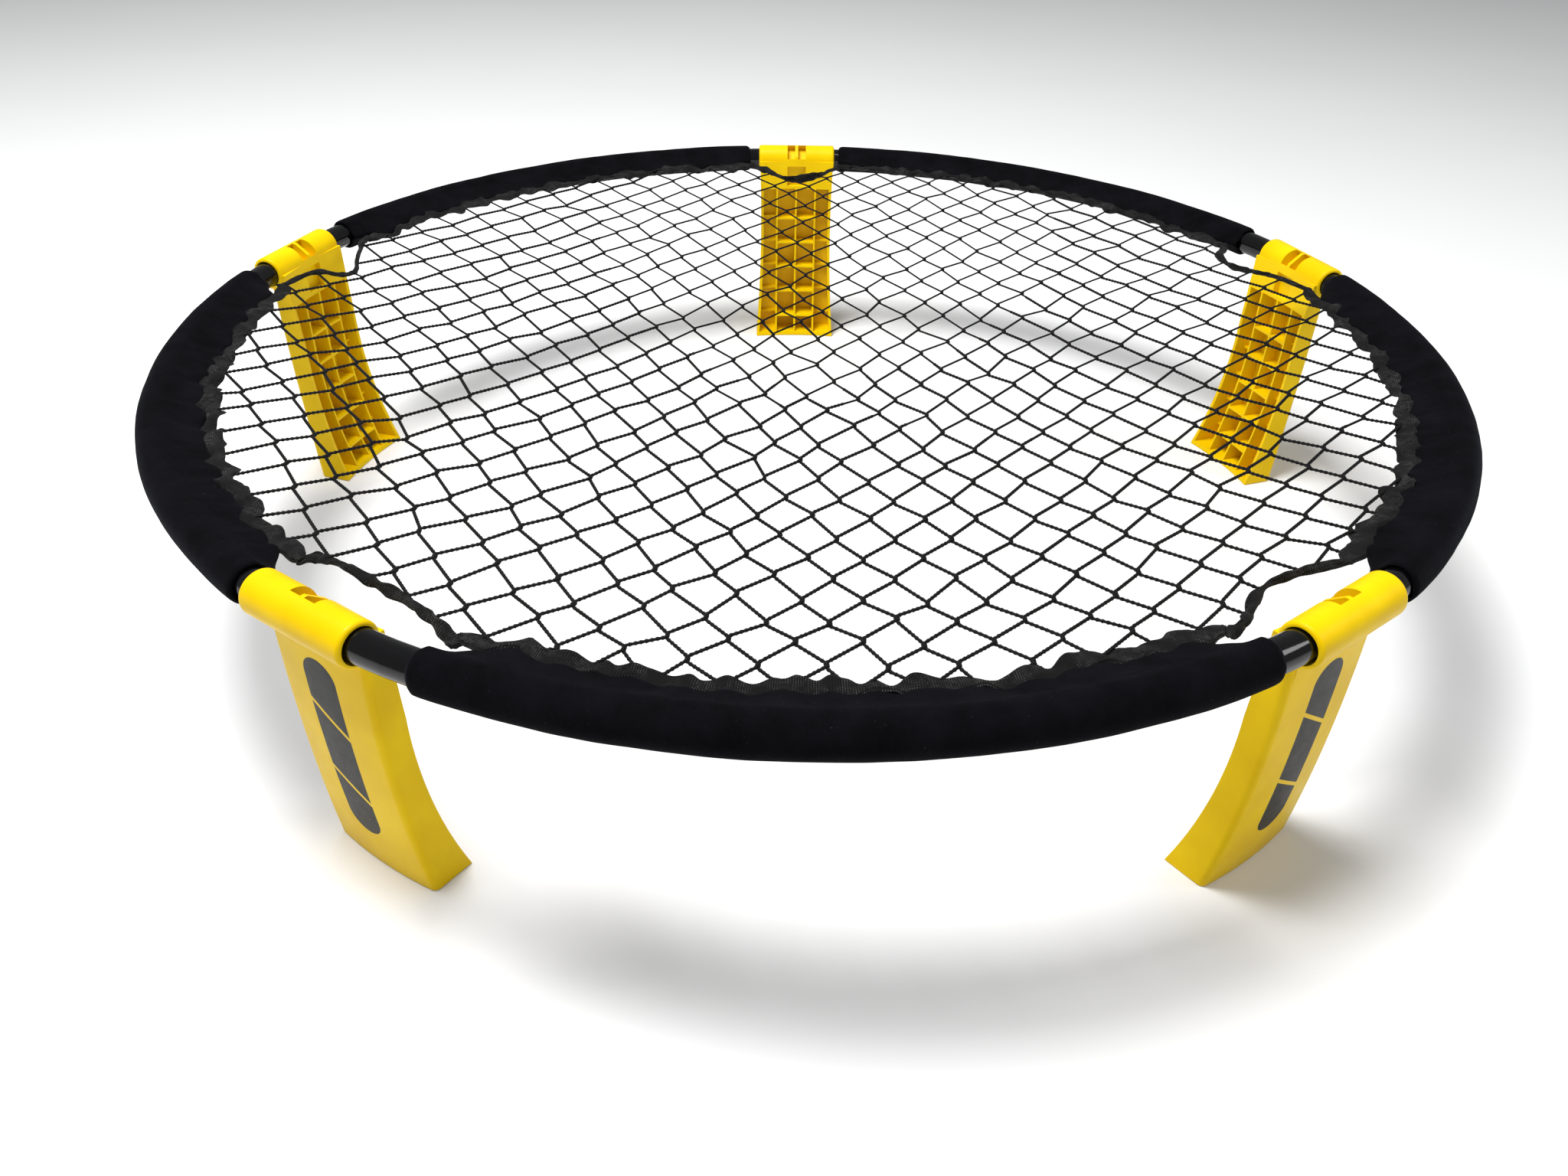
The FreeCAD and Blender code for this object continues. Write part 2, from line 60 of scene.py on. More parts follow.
# Sleeves: stretch cloth round a tube, drawn in to a double tail on the inside of the ring
SLEEVE_RADIUS = 12.4 * MM
SLEEVE_CLOTH = 1.1 * MM
SECTION_POINTS = 56
SECTION_SNAP = 0.05 * MM                # points this near each other belong to one line along the run
RUN_STEP = 2.2 * MM
TAIL_REACH = 28.0 * MM
TAIL_HALF = 1.5 * MM
TAIL_LEAVES = math.radians(128)         # where the cloth leaves the tube, from the outside of the ring
TAIL_DRAW = 1.35                        # how sharply the cloth is drawn in to the tail
TAIL_START = 4 * MM                     # out from the tube's middle, where the tail starts to move
TAIL_ROOT = 6 * MM                      # the tail is cut back beyond this at the hems
HEM_REACH = 0.36                        # share of the tail that is left at a hem
HEM_SHORTEN = 27 * MM                   # how far along the cut runs
HEM_LEAD = 1 * MM
HEM_HUG = 1.5 * MM                      # the elastic hem draws in by this
HEM_HUG_LENGTH = 3.2 * MM
HEM_FRAY = 0.9 * MM
HEM_FRAY_LENGTH = 4 * MM
SLACK = 0.45 * MM
SLACK_LENGTH = 45 * MM
CREASE = 0.16 * MM
CREASE_LENGTH = 13 * MM
PUCKER = 0.5 * MM
SHOULDER_PUCKER = 0.8 * MM
PUCKER_LENGTH = 7.5 * MM
MIDDLE_BAND = 0.2 * MM                  # the tail's very edge, which does not pucker
TAIL_FOLLOWS_OUT = 0.75                 # share of the binding's wave that the tail takes up
TAIL_FOLLOWS_UP = 0.8

# Binding: a ribbon folded over the tails, and free past each leg
BINDING_MIDDLE = 30.3 * MM
BINDING_WIDTH = 13.0 * MM
BINDING_THICKNESS = 2.8 * MM
BINDING_STEP = 1.8 * MM
BINDING_NARROWS = 18 * MM               # from a hem, where it eases to the span's width
BINDING_TIP = 6 * MM                    # from a hem, where it is gathered to its tip
BINDING_TIP_SHARE = 0.45
BINDING_UNEVEN = 0.16
BINDING_UNEVEN_LENGTH = 11 * MM
BINDING_FULLER = 0.9                    # how much thicker its edge over the tail is
HEM_EASE = 26 * MM                      # the waves die away this near a hem
HEM_PULL = 1.8 * MM
WAVE_OUT = 3.7 * MM
WAVE_LENGTH = 17 * MM
RIPPLE_SHARE = 0.45
RIPPLE_LENGTH = 8 * MM
WAVE_UP = 1.9 * MM
LIFT_LENGTH = 13 * MM
WAVE_TURN = math.radians(30)
TURN_LENGTH = 12 * MM
RIBBON_POINTS = 9                       # across each face
RIBBON_RIB = 0.12                       # height of its two ribs, as a share of its thickness
EDGE_POWER = 4                          # how square its edges are
BRAID_CREASE = 50                       # in degrees, sharper folds stay sharp

SPAN_WIDTH = 10.0 * MM
SPAN_HALF = 60 * MM                     # half its run before it is laid along its path
SPAN_STEP = 1.2 * MM
SPAN_SAMPLES = 100
SPAN_TWIST = math.radians(38)
SPAN_TWIST_LENGTH = 9 * MM
SPAN_GATHER = 0.70                      # the net's pull gathers it to this share of its width
SPAN_UNEVEN = 0.26
SPAN_UNEVEN_LENGTH = 10 * MM
SPAN_ARCH = 0.9 * MM
SPAN_ARCH_LENGTH = 12 * MM

# Net: twisted twines knotted where they cross
TWINE_WIDE = 1.15 * MM
TWINE_FLAT = 0.80 * MM
TWINE_PITCH = 2.8 * MM
STEPS_PER_PITCH = 4
TWINE_LAYER = 0.35 * MM                 # each way from the net's plane
TWINE_UNEVEN = 0.05
TWINE_UNEVEN_LENGTH = 3 * MM
KNOT_REACH = 1.7 * MM
KNOT_HALF = Vector((2.9, 1.7, 1.5)) * MM
KNOT_WAIST = 0.14
KNOT_WAIST_LENGTH = 0.3
KNOT_BULGE = 0.10
KNOT_CLEAR = 7 * MM                     # nearest that a knot lies to the binding's middle line
TWINE_END_REACH = 2.2                   # longest last stretch, in meshes
KNOT_ERROR = 1.5                        # of each knot's place in the net's plane, in mm
KNOT_ERROR_UP = 0.5
GRID_I = range(-14, 24)
GRID_J = range(-14, 26)
RUN_STEPS = 120                         # stretches that stand for a run of binding in the net's outline
SPAN_STEPS = 24

# How the net is stretched, in mm for NET_COUNT meshes: s across and t deep, both counted from the middle
NET_COUNT = 30
NET_START_ACROSS = 2.5
NET_START_DEEP = 12.6
NET_WIDE = 449.6
NET_WIDER = 30.9                        # gain in width with t
NET_WIDER_ENDS = 154.2                  # gain in width towards the front and the back
NET_WIDER_SIDES = 99.1                  # gain in width towards the sides
NET_LEAN = 74.9                         # the rows lean over to the right with t
NET_LEAN_ENDS = 0.3
NET_DEEP = 727.9
NET_DEEPER = 113.7
NET_SHORTER_ENDS = 51.8
NET_BOW = 59.0                          # the rows bow towards the back at the sides
NET_BOW_CHANGE = 184.2
NET_TURN = 49.0

# The binding's free path past each leg: along the ring, out from the centre, up from the ring's plane,
# and turn of the ribbon in degrees
SPANS = {
    "back": [
        (-44, 417, 0, 0), (-30, 398, -1, 35), (-14, 386, -2, 80), (6, 380, -3, 60), (21, 388, -2, 20),
        (31, 402, -1, -30), (49, 417, 0, 0)],
    "back_left": [
        (-61, 416, 0, 0), (-44, 410, 2, 20), (-14, 395, 1, 60), (8, 384, -1, 40), (16, 390, -2, 0),
        (24, 403, 2, 0), (42, 413, 2, 0), (60, 417, 0, 0)],
    "front_left": [
        (-47, 416, 0, 0), (-40, 407, 0, 30), (-20, 404, 0, -20), (6, 404, -1, 50), (30, 405, -1, 0),
        (52, 409, 0, 60), (76, 416, 0, 0)],
    "front_right": [
        (-60, 417, 0, 0), (-46, 416, 0, 40), (-34, 411, -1, -30), (-13, 403, -1, 20), (10, 403, -1, 70),
        (34, 410, 0, 20), (50, 416, 0, 0)],
    "back_right": [
        (-47, 417, 0, 0), (-34, 412, 2, 5), (-10, 404, 2, 30), (10, 395, 0, 60), (28, 391, -1, 30),
        (48, 397, -1, -20), (57, 407, 0, 0), (68, 416, 0, 0)],
}

# Studio, in metres and watts
FLOOR_SIZE = 30
ROOM_COLOUR = (0.97, 0.985, 1.0, 1)
ROOM_LIGHT = 0.27
LAMP_AIM = Vector((0, 0, 0.15))
LAMPS = {"key": ((-0.7, -0.2, 2.7), 1.1, 104), "fill": ((2.1, -0.6, 1.6), 0.8, 12)}
CAMERA_PLACE = Vector((-0.0365, -0.8589, 0.3747 + RING_HEIGHT))
CAMERA_AZIMUTH = math.radians(-2.089)
CAMERA_ELEVATION = math.radians(32.234)
CAMERA_ROLL = math.radians(1.325)
CAMERA_SHIFT = (-0.0093, -0.0444)
SENSOR_WIDTH = 36
LENS = 28.47
NEAR_CLIP = 0.01


# ---------------------------------------------------------------- working with pieces

def only(*pieces):
    if bpy.context.object and bpy.context.object.mode != "OBJECT":
        bpy.ops.object.mode_set(mode="OBJECT")
    bpy.ops.object.select_all(action="DESELECT")
    for piece in pieces:
        piece.select_set(True)
    bpy.context.view_layer.objects.active = pieces[0]


def edit_all(piece):
    only(piece)
    bpy.ops.object.mode_set(mode="EDIT")
    bpy.ops.mesh.select_mode(type="VERT")
    bpy.ops.mesh.select_all(action="SELECT")


def done(piece):
    bpy.ops.object.mode_set(mode="OBJECT")
    only(piece)


def apply_modifier(piece, kind, **settings):
    only(piece)
    modifier = piece.modifiers.new(kind.title(), kind)
    for key, value in settings.items():
        setattr(modifier, key, value)
    bpy.ops.object.modifier_apply(modifier=modifier.name)


def smooth(piece, angle=None):
    only(piece)
    if angle is None:
        bpy.ops.object.shade_smooth()
    else:
        bpy.ops.object.shade_smooth_by_angle(angle=math.radians(angle))


def finish_piece(piece, material):
    piece.data.materials.clear()
    piece.data.materials.append(material)
    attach(piece, "ring")


def spun_band(name, section, start, end, step):
    """A closed section beside the ring's axis, spun round it. Section points are (out, up)."""
    count = len(section)
    bpy.ops.object.select_all(action="DESELECT")
    bpy.ops.mesh.primitive_circle_add(vertices=count, radius=SLEEVE_RADIUS, rotation=(math.pi / 2, 0, 0))
    piece = bpy.context.object
    piece.name = name
    bpy.ops.object.transform_apply(location=True, rotation=True, scale=True)
    for vertex, (out, up) in zip(piece.data.vertices, section):
        radius = RING_RADIUS + out
        vertex.co = (radius * math.cos(start), radius * math.sin(start), RING_HEIGHT + up)
    steps = max(2, round(RING_RADIUS * (end - start) / step))
    edit_all(piece)
    bpy.ops.mesh.spin(steps=steps, angle=start - end, center=(0, 0, 0), axis=(0, 0, 1))
    done(piece)
    return piece


def turn_of(place, start):
    """Angle of a point about the ring's axis, counted from start."""
    turn = math.atan2(place.y, place.x) - start
    return (turn + math.pi) % (2 * math.pi) - math.pi


def section_lengths(section):
    """Distance round a closed section to each of its points, and all the way round."""
    lengths = [0.0]
    for here, there in zip(section, section[1:] + section[:1]):
        lengths.append(lengths[-1] + math.dist(here, there))
    return lengths


def reshape(piece, section, start, place):
    """Move every point by place(turn, out, up), and lay the piece out flat in metres for its weave."""
    lengths = section_lengths(section)
    flat = []
    for vertex in piece.data.vertices:
        turn = turn_of(vertex.co, start)
        out = math.hypot(vertex.co.x, vertex.co.y) - RING_RADIUS
        up = vertex.co.z - RING_HEIGHT
        flat.append((turn * RING_RADIUS, out, up))
    nearest = {}
    for index, (along, out, up) in enumerate(flat):
        key = (round(out / SECTION_SNAP), round(up / SECTION_SNAP))
        if key not in nearest:
            nearest[key] = min(range(len(section)), key=lambda i: math.dist(section[i], (out, up)))
        flat[index] = (along, lengths[nearest[key]], out, up)
    layer = piece.data.uv_layers.new(name="flat")
    whole = lengths[-1]
    for polygon in piece.data.polygons:
        around = [flat[piece.data.loops[i].vertex_index][1] for i in polygon.loop_indices]
        wraps = max(around) - min(around) > whole / 2
        for loop_index, value in zip(polygon.loop_indices, around):
            along = flat[piece.data.loops[loop_index].vertex_index][0]
            layer.data[loop_index].uv = (along, value + whole if wraps and value < whole / 2 else value)
    for vertex, (along, _, out, up) in zip(piece.data.vertices, flat):
        vertex.co = place(start + along / RING_RADIUS, out, up)


# ---------------------------------------------------------------- places on the ring

def polar(radius, angle, up=0.0):
    return Vector((radius * math.cos(angle), radius * math.sin(angle), RING_HEIGHT + up))


def hem(tube, last=False):
    return COLLAR_END + BARE_TUBE[TUBE_NAMES[tube]][last] * MM


def hem_turns(tube):
    """Angles at which one tube's sleeve starts and ends."""
    first = math.radians(FIRST_LEG + LEG_SPACING * tube) + math.asin(hem(tube) / RING_RADIUS)
    last = math.radians(FIRST_LEG + LEG_SPACING * (tube + 1)) - math.asin(hem(tube, True) / RING_RADIUS)
    return first, last


def beside_tube(turn, out, up):
    """A point beside the tubes' centre line, which is straight in the collars and bends beside them."""
    nearest = round((math.degrees(turn) - FIRST_LEG) / LEG_SPACING)
    leg = math.radians(FIRST_LEG + LEG_SPACING * nearest)
    side = 1 if turn >= leg else -1
    along = RING_RADIUS * abs(math.sin(turn - leg))
    if along >= TUBE_BEND_END:
        return polar(RING_RADIUS + out, turn, up)
    bend = math.asin(max(0.0, along - TUBE_STRAIGHT_END) / BEND_RADIUS)
    across = side * (min(along, TUBE_STRAIGHT_END) + (BEND_RADIUS + out) * math.sin(bend))
    outwards = AXIS_RADIUS - BEND_RADIUS + (BEND_RADIUS + out) * math.cos(bend)
    return at_leg(leg, across, outwards, up)


def at_leg(leg, across, outwards, up):
    return Vector((outwards * math.cos(leg) - across * math.sin(leg),
                   outwards * math.sin(leg) + across * math.cos(leg), RING_HEIGHT + up))


def soft_step(share):
    share = min(1.0, max(0.0, share))
    return share * share * (3 - 2 * share)


def roll(length, seed, place=0.0):
    """Smooth rise and fall between about -1 and 1, with no repeat, at a scale of one metre to length."""
    return noise.noise(Vector((place / length, seed * 7.31, seed * 1.7))) * 1.6


def binding_wave(turn):
    """How far the binding stands out from its middle line, how far up, and how much it rolls."""
    along = turn * RING_RADIUS
    pull = roll(WAVE_LENGTH, 3, along) + RIPPLE_SHARE * roll(RIPPLE_LENGTH, 5, along)
    up = WAVE_UP * roll(LIFT_LENGTH, 8, along)
    tilt = WAVE_TURN * roll(TURN_LENGTH, 12, along)
    return WAVE_OUT * pull, up, tilt


def run_ends(turn, tube):
    """1 along most of a run, easing to 0 at the sleeve's two hems."""
    first, last = hem_turns(tube)
    nearest = min(turn - first, last - turn) * RING_RADIUS
    return soft_step(nearest / HEM_EASE), nearest


def binding_middle(turn, eased):
    """Middle line of a run of binding: how far out and how far up, and how much it rolls there."""
    wave, lift, tilt = binding_wave(turn)
    return -BINDING_MIDDLE + HEM_PULL * (1 - eased) + eased * wave, eased * lift, eased * tilt


# ---------------------------------------------------------------- sleeves

def sleeve_section():
    """Round about the tube, drawn in to a flat double tail, starting from the outside of the ring."""
    points = []
    leave = TAIL_LEAVES
    start = SLEEVE_RADIUS * math.sin(leave)
    for index in range(SECTION_POINTS):
        angle = 2 * math.pi * index / SECTION_POINTS
        side = 1 if angle <= math.pi else -1
        swing = angle if side > 0 else 2 * math.pi - angle
        if swing <= leave:
            points.append((SLEEVE_RADIUS * math.cos(swing), side * SLEEVE_RADIUS * math.sin(swing)))
            continue
        share = (swing - leave) / (math.pi - leave)
        out = SLEEVE_RADIUS * math.cos(leave) * (1 - share) - TAIL_REACH * share
        drawn = (1 - share) ** TAIL_DRAW
        up = start * drawn + TAIL_HALF * (1 - drawn)
        points.append((out, side * (up if index != SECTION_POINTS // 2 else 0.0)))
    return points


def make_sleeve(tube, name):
    """A sleeve of stretch cloth: slack and creased on its tube, puckered at its tail, tight at its hems."""
    first, last = hem_turns(tube)
    section = sleeve_section()
    sleeve = spun_band("cloth_sleeve_" + name, section, first, last, RUN_STEP)
    seed = tube * 3.7 + 1.0

    def place(turn, out, up):
        eased, nearest = run_ends(turn, tube)
        along = turn * RING_RADIUS
        wave, lift, _ = binding_wave(turn)
        tail = soft_step((-out - TAIL_START) / (TAIL_REACH - TAIL_START))
        cut = HEM_REACH + (1 - HEM_REACH) * soft_step((nearest + HEM_LEAD) / HEM_SHORTEN)
        around = math.atan2(up, out)
        slack = noise.noise(Vector((along / SLACK_LENGTH, around * 1.3, seed)))
        crease = noise.noise(Vector((along / CREASE_LENGTH, around * 0.9, seed + 4)))
        pucker = noise.noise(Vector((along / PUCKER_LENGTH, seed + 9, 0.0)))
        fray = HEM_FRAY * noise.noise(Vector((around, seed, 1.0))) * (nearest < HEM_FRAY_LENGTH)
        hugged = max(0.0, 1 - nearest / HEM_HUG_LENGTH) ** 2
        swell = SLACK * slack + CREASE * crease - HEM_HUG * hugged
        rounded = 1 + swell / SLEEVE_RADIUS * (1 - tail)
        new_out = out * rounded if out >= -TAIL_ROOT else -TAIL_ROOT + (out + TAIL_ROOT) * cut
        new_out += eased * tail * wave * TAIL_FOLLOWS_OUT
        new_up = up * rounded + eased * tail * lift * TAIL_FOLLOWS_UP
        if abs(up) > MIDDLE_BAND:
            shoulder = SHOULDER_PUCKER * tail * (1 - tail) * 4
            new_up += PUCKER * tail * pucker + math.copysign(shoulder * pucker, up)
        return beside_tube(turn + fray / RING_RADIUS, new_out, new_up)

    reshape(sleeve, section, first, place)
    edit_all(sleeve)
    bpy.ops.mesh.normals_make_consistent(inside=False)
    done(sleeve)
    apply_modifier(sleeve, "SOLIDIFY", thickness=SLEEVE_CLOTH, offset=-1.0, use_rim=True)
    smooth(sleeve)
    finish_piece(sleeve, SLEEVE)
    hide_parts("sleeve_" + name)
    around = section_lengths(section)[-1]


# ---------------------------------------------------------------- binding

def ribbon_section(width):
    """A flat closed section with soft edges and two ribs, drawn at the binding's place beside the tubes."""
    points = []
    for side in (1, -1):
        for index in range(RIBBON_POINTS - 1):
            share = index / (RIBBON_POINTS - 1)
            out = side * (width / 2 - width * share)
            rise = BINDING_THICKNESS / 2 * (1 - abs(2 * share - 1) ** EDGE_POWER) ** 0.5
            rib = RIBBON_RIB * BINDING_THICKNESS * math.cos(4 * math.pi * share) if index else 0.0
            points.append((out - BINDING_MIDDLE, side * (rise + rib)))
    return points


def make_binding(tube, name):
    """The run of binding folded over a sleeve's tail, pulled in and out by the net."""
    first, last = hem_turns(tube)
    section = ribbon_section(BINDING_WIDTH)
    binding = spun_band("braid_binding_" + name, section, first, last, BINDING_STEP)
    span_share = SPAN_WIDTH / BINDING_WIDTH

    def place(turn, out, up):
        eased, nearest = run_ends(turn, tube)
        middle, lift, tilt = binding_middle(turn, eased)
        narrow = span_share + (1 - span_share) * soft_step(nearest / BINDING_NARROWS)
        narrow *= BINDING_TIP_SHARE + (1 - BINDING_TIP_SHARE) * soft_step(nearest / BINDING_TIP)
        narrow *= 1 + BINDING_UNEVEN * roll(BINDING_UNEVEN_LENGTH, 21, turn * RING_RADIUS)
        across = (out + BINDING_MIDDLE) * narrow
        thick = up * (1 + BINDING_FULLER * soft_step(across / (BINDING_WIDTH / 2)))
        return beside_tube(turn, middle + across * math.cos(tilt) - thick * math.sin(tilt),
                           lift + across * math.sin(tilt) + thick * math.cos(tilt))

    reshape(binding, section, first, place)
    close_ends(binding)
    smooth(binding, BRAID_CREASE)
    finish_piece(binding, BRAID)
    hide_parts("binding_" + name)


def close_ends(piece):
    """Fill the two open ends of a spun section and turn all faces outwards."""
    edit_all(piece)
    bpy.ops.mesh.select_all(action="DESELECT")
    bpy.ops.mesh.select_non_manifold()
    bpy.ops.mesh.fill_holes(sides=0)
    bpy.ops.mesh.select_all(action="SELECT")
    bpy.ops.mesh.normals_make_consistent(inside=False)
    done(piece)


def through(points, share):
    """A point of a smooth line through all the points, share from 0 to 1."""
    spans = len(points) - 1
    index = min(int(share * spans), spans - 1)
    t = share * spans - index
    before = points[max(index - 1, 0)]
    here, there = points[index], points[index + 1]
    after = points[min(index + 2, spans)]
    smooth_line = []
    for a, b, c, d in zip(before, here, there, after):
        square = (2 * a - 5 * b + 4 * c - d) * t * t
        cube = (3 * b - a - 3 * c + d) * t ** 3
        smooth_line.append((2 * b + (c - a) * t + square + cube) / 2)
    return smooth_line


def span_point(name, share):
    """A point of the binding's free path past a leg, and the ribbon's turn there."""
    across, outwards, up, twist = through(SPANS[name], share)
    return at_leg(math.radians(LEGS[name]), across * MM, outwards * MM, up * MM), math.radians(twist)


def span_length(name):
    points = [span_point(name, index / SPAN_SAMPLES)[0] for index in range(SPAN_SAMPLES + 1)]
    return sum((there - here).length for here, there in zip(points, points[1:]))


def make_span(name):
    """The free stretch of ribbon past a leg, narrowed and twisted by the net's pull."""
    leg = math.radians(LEGS[name])
    reach = SPAN_HALF / RING_RADIUS
    section = ribbon_section(SPAN_WIDTH)
    span = spun_band("braid_span_" + name, section, leg - reach, leg + reach, SPAN_STEP)
    length = span_length(name)
    look_ahead = 1 / SPAN_SAMPLES

    def place(turn, out, up):
        share = min(1.0, max(0.0, (turn - leg + reach) / (2 * reach)))
        middle, twist = span_point(name, share)
        ahead = (span_point(name, min(1.0, share + look_ahead))[0]
                 - span_point(name, max(0.0, share - look_ahead))[0]).normalized()
        side = Vector((0, 0, 1)).cross(ahead).normalized()
        high = ahead.cross(side)
        along = share * length
        twist += SPAN_TWIST * roll(SPAN_TWIST_LENGTH, LEGS[name], along)
        gather = SPAN_GATHER + SPAN_UNEVEN * roll(SPAN_UNEVEN_LENGTH, 2 + LEGS[name], along)
        across = -(out + BINDING_MIDDLE) * gather
        crown = 1 - (across / (SPAN_WIDTH / 2)) ** 2
        arch = -SPAN_ARCH * crown * roll(SPAN_ARCH_LENGTH, 4 + LEGS[name], along)
        lateral = side * math.cos(twist) + high * math.sin(twist)
        normal = high * math.cos(twist) - side * math.sin(twist)
        return middle + lateral * across + normal * (up + arch)

    reshape(span, section, leg - reach, place)
    close_ends(span)
    smooth(span, BRAID_CREASE)
    finish_piece(span, BRAID)
    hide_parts("binding_span_" + name)


# ---------------------------------------------------------------- net

def binding_outline():
    """Middle line of the whole binding, once round the ring."""
    outline = []
    for tube, leg in enumerate(LEG_NAMES):
        outline.extend(span_point(leg, step / SPAN_STEPS)[0] for step in range(SPAN_STEPS + 1))
        first, last = hem_turns(tube)
        for step in range(1, RUN_STEPS):
            turn = first + (last - first) * step / RUN_STEPS
            middle, lift, _ = binding_middle(turn, run_ends(turn, tube)[0])
            outline.append(beside_tube(turn, middle, lift))
    return outline


def knot_place(i, j, jitter):
    """Where knot (i, j) of the stretched net lies. The meshes are long and narrow at the back."""
    s = (i - j + NET_START_ACROSS) / NET_COUNT
    t = (i + j - NET_START_DEEP) / NET_COUNT
    x = s * (NET_WIDE + NET_WIDER * t + NET_WIDER_ENDS * t * t + NET_WIDER_SIDES * s * s)
    x += NET_LEAN * t - NET_LEAN_ENDS * t * t
    y = t * (NET_DEEP + NET_DEEPER * t - NET_SHORTER_ENDS * t * t)
    y += s * s * (NET_BOW - NET_BOW_CHANGE * t) - NET_TURN * s
    dx, dy, dz = jitter.get((i, j), (0, 0, 0))
    return Vector(((x + dx) * MM, (y + dy) * MM, RING_HEIGHT + dz * MM))


def crossing(start, end, outline):
    """Where a stretch of twine, drawn out from inside the net, meets the binding's middle line."""
    best = None
    run = end - start
    for here, there in zip(outline, outline[1:] + outline[:1]):
        edge = there - here
        cross = run.x * edge.y - run.y * edge.x
        if abs(cross) < 1e-12:
            continue
        gap = here - start
        share = (gap.x * edge.y - gap.y * edge.x) / cross
        along = (gap.x * run.y - gap.y * run.x) / cross
        if 0 < share < TWINE_END_REACH and 0 <= along <= 1 and (best is None or share < best[0]):
            best = (share, here + edge * along)
    return best


def inside(point, outline):
    within = False
    for here, there in zip(outline, outline[1:] + outline[:1]):
        if (here.y > point.y) != (there.y > point.y):
            if point.x < here.x + (point.y - here.y) / (there.y - here.y) * (there.x - here.x):
                within = not within
    return within


def lay_out_knots(outline):
    """All knots that lie inside the binding, each with a small seeded error."""
    rng = random.Random(17)
    jitter = {(i, j): (rng.gauss(0, KNOT_ERROR), rng.gauss(0, KNOT_ERROR), rng.gauss(0, KNOT_ERROR_UP))
              for i in GRID_I for j in GRID_J}
    knots = {}
    for key in jitter:
        place = knot_place(*key, jitter)
        if math.hypot(place.x, place.y) > RING_RADIUS or not inside(place, outline):
            continue
        nearest = min((place - point).xy.length for point in outline)
        if nearest > KNOT_CLEAR:
            knots[key] = place
    return knots, jitter


def knot_lie(key, jitter):
    """The way a knot is drawn out: along the longer diagonal of its meshes."""
    i, j = key
    return (knot_place(i + 1, j + 1, jitter) - knot_place(i - 1, j - 1, jitter)).normalized()


def lines_of(knots, jitter, outline, step):
    """Every twine as the points it runs through, from binding to binding."""
    def beyond(key, way):
        return key[0] + way * step[0], key[1] + way * step[1]

    def end_point(key, way):
        met = crossing(knots[key], knot_place(*beyond(key, way), jitter), outline)
        return [met[1]] if met else []

    paths = []
    for first in sorted(knots):
        if beyond(first, -1) in knots:
            continue
        run = [first]
        while beyond(run[-1], 1) in knots:
            run.append(beyond(run[-1], 1))
        points = end_point(first, -1)
        for key in run:
            lie = knot_lie(key, jitter) * KNOT_REACH
            points.extend([knots[key] - lie, knots[key] + lie])
        paths.append(points + end_point(run[-1], 1))
    return paths


def evenly(points, step):
    """Points at an even distance along a run of straight stretches, with its corners eased."""
    total = sum((b - a).length for a, b in zip(points, points[1:]))
    count = max(2, round(total / step))
    spaced, index, passed = [], 0, 0.0
    for number in range(count + 1):
        aim = total * number / count
        while index < len(points) - 2 and passed + (points[index + 1] - points[index]).length < aim:
            passed += (points[index + 1] - points[index]).length
            index += 1
        stretch = points[index + 1] - points[index]
        spaced.append(points[index] + stretch * min(1.0, (aim - passed) / max(stretch.length, 1e-9)))
    eased = spaced[:]
    for number in range(1, len(spaced) - 1):
        eased[number] = (spaced[number - 1] + spaced[number] * 2 + spaced[number + 1]) / 4
    return eased


def make_twines(name, paths, offset):
    """Twisted twines: a flat round section, turned steadily as it follows each path."""
    bpy.ops.object.select_all(action="DESELECT")
    bpy.ops.curve.primitive_bezier_circle_add(radius=1.0)
    section = bpy.context.object
    section.data.resolution_u = 1
    section.scale = (TWINE_WIDE, TWINE_FLAT, 1)
    bpy.ops.object.transform_apply(location=True, rotation=True, scale=True)
    curve = bpy.data.curves.new(name, "CURVE")
    curve.dimensions = "3D"
    curve.twist_mode = "Z_UP"
    curve.bevel_mode = "OBJECT"
    curve.bevel_object = section
    step = TWINE_PITCH / STEPS_PER_PITCH
    for path in paths:
        points = evenly(path, step)
        spline = curve.splines.new("POLY")
        spline.points.add(len(points) - 1)
        for index, point in enumerate(points):
            uneven = roll(TWINE_UNEVEN_LENGTH, 1.5, index * step + point.x * 9)
            spline.points[index].co = (point.x, point.y, point.z + offset, 1)
            spline.points[index].tilt = math.pi * index / STEPS_PER_PITCH
            spline.points[index].radius = 1 + TWINE_UNEVEN * uneven
    piece = bpy.data.objects.new(name, curve)
    bpy.context.scene.collection.objects.link(piece)
    only(piece)
    bpy.ops.object.convert(target="MESH")
    piece = bpy.context.object
    bpy.data.objects.remove(section)
    smooth(piece)
    finish_piece(piece, TWINE)
    return piece


def knot_shape():
    """One knot: a small lump with a waist, modelled once about the origin along X."""
    bpy.ops.object.select_all(action="DESELECT")
    bpy.ops.mesh.primitive_uv_sphere_add(
        segments=8, ring_count=6, radius=1, rotation=(0, math.pi / 2, 0))
    lump = bpy.context.object
    bpy.ops.object.transform_apply(location=True, rotation=True, scale=True)
    for vertex in lump.data.vertices:
        waist = 1 - KNOT_WAIST * math.exp(-(vertex.co.x / KNOT_WAIST_LENGTH) ** 2)
        bulge = 1 + KNOT_BULGE * math.sin(3 * math.atan2(vertex.co.z, vertex.co.y) + vertex.co.x * 2)
        vertex.co = (vertex.co.x * KNOT_HALF.x, vertex.co.y * KNOT_HALF.y * waist * bulge,
                     vertex.co.z * KNOT_HALF.z * waist)
    return lump


